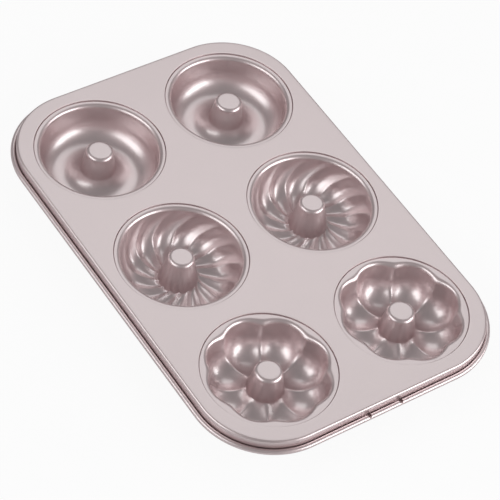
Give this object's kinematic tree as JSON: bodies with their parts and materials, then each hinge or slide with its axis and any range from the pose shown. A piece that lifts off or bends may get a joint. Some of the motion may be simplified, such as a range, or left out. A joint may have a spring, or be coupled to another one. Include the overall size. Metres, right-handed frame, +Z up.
{
  "type": "doughnut pan",
  "caption": "Doughnut pan pressed from one coated steel sheet, with plain, twisted and flower-shaped ring cups round hollow posts and a rolled edge.",
  "frame": {"origin": "centre of the bounding box at the level the cups stand on", "axes": "+X to the right across the pan, +Y along the pan toward the two plain cups, +Z up out of the cups"},
  "size_m": [0.1964, 0.2904, 0.0244],
  "materials": {
    "coated_steel": "satin"
  },
  "bodies": {
    "root": {"pan": "coated_steel"}
  },
  "joints": []
}
